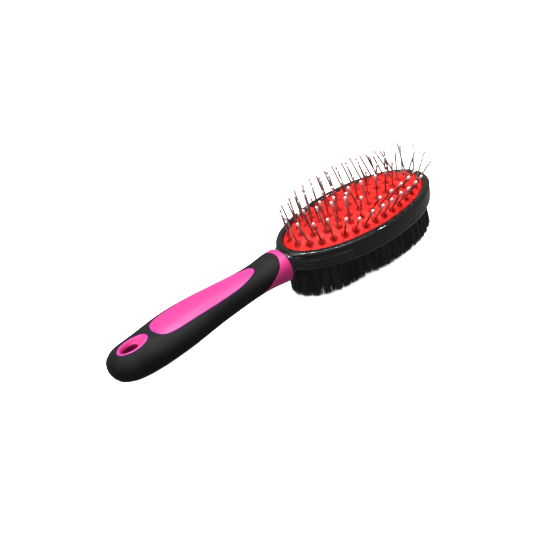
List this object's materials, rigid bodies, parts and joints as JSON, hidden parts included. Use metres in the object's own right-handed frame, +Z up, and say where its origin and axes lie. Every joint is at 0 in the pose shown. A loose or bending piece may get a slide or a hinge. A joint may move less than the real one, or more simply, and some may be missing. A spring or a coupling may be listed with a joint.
{
  "type": "bristle brush",
  "caption": "Double-sided pet grooming brush: ball-tipped steel pins in a sprung rubber cushion on one face, dense bristle tufts on the other, soft-grip handle with a hang hole.",
  "frame": {"origin": "on the plane of the bristle tips, under the middle of the brush's length", "axes": "+X along the handle towards the tip of the head, +Y across, +Z up towards the pin side"},
  "size_m": [0.2224, 0.0602, 0.0525],
  "materials": {
    "pink_plastic": "satin",
    "grip_rubber": "matte",
    "black_gloss": "gloss",
    "red_rubber": "satin",
    "pin_steel": "polished",
    "bristle_nylon": "satin"
  },
  "bodies": {
    "brush": {"handle_core": "pink_plastic", "handle_grip": "grip_rubber", "head_body": "black_gloss", "bezel_ring": "black_gloss", "bristle_plate": "black_gloss", "pin_cushion": "red_rubber", "bristles_outer_a": "bristle_nylon", "bristles_outer_b": "bristle_nylon", "bristles_outer_c": "bristle_nylon", "bristles_outer_d": "bristle_nylon", "bristles_outer_e": "bristle_nylon", "bristles_outer_f": "bristle_nylon", "bristles_second_a": "bristle_nylon", "bristles_second_b": "bristle_nylon", "bristles_second_c": "bristle_nylon", "bristles_second_d": "bristle_nylon", "bristles_third_a": "bristle_nylon", "bristles_third_b": "bristle_nylon", "bristles_third_c": "bristle_nylon", "bristles_third_d": "bristle_nylon", "bristles_centre_a": "bristle_nylon", "bristles_centre_b": "bristle_nylon"},
    "pins_centre": {"pins_centre_a": "pin_steel", "pins_centre_b": "pin_steel"},
    "pins_third": {"pins_third_a": "pin_steel", "pins_third_b": "pin_steel", "pins_third_c": "pin_steel", "pins_third_d": "pin_steel"},
    "pins_second": {"pins_second_a": "pin_steel", "pins_second_b": "pin_steel", "pins_second_c": "pin_steel", "pins_second_d": "pin_steel"},
    "pins_outer": {"pins_outer_a": "pin_steel", "pins_outer_b": "pin_steel", "pins_outer_c": "pin_steel", "pins_outer_d": "pin_steel"}
  },
  "joints": [
    {"name": "press_centre", "type": "slide", "parent": "brush", "child": "pins_centre", "axis": [0, 0, -1], "range_m": [0, 0.003], "stiffness_N_per_m": 400, "deforming": ["pin_cushion"]},
    {"name": "press_third", "type": "slide", "parent": "brush", "child": "pins_third", "axis": [0, 0, -1], "range_m": [0, 0.00299], "stiffness_N_per_m": 700},
    {"name": "press_second", "type": "slide", "parent": "brush", "child": "pins_second", "axis": [0, 0, -1], "range_m": [0, 0.00269], "stiffness_N_per_m": 900},
    {"name": "press_outer", "type": "slide", "parent": "brush", "child": "pins_outer", "axis": [0, 0, -1], "range_m": [0, 0.00102], "stiffness_N_per_m": 1200}
  ],
  "couplings": [
    {"joint": "press_third", "follows": "press_centre", "ratio": 0.994},
    {"joint": "press_second", "follows": "press_centre", "ratio": 0.895},
    {"joint": "press_outer", "follows": "press_centre", "ratio": 0.336}
  ]
}
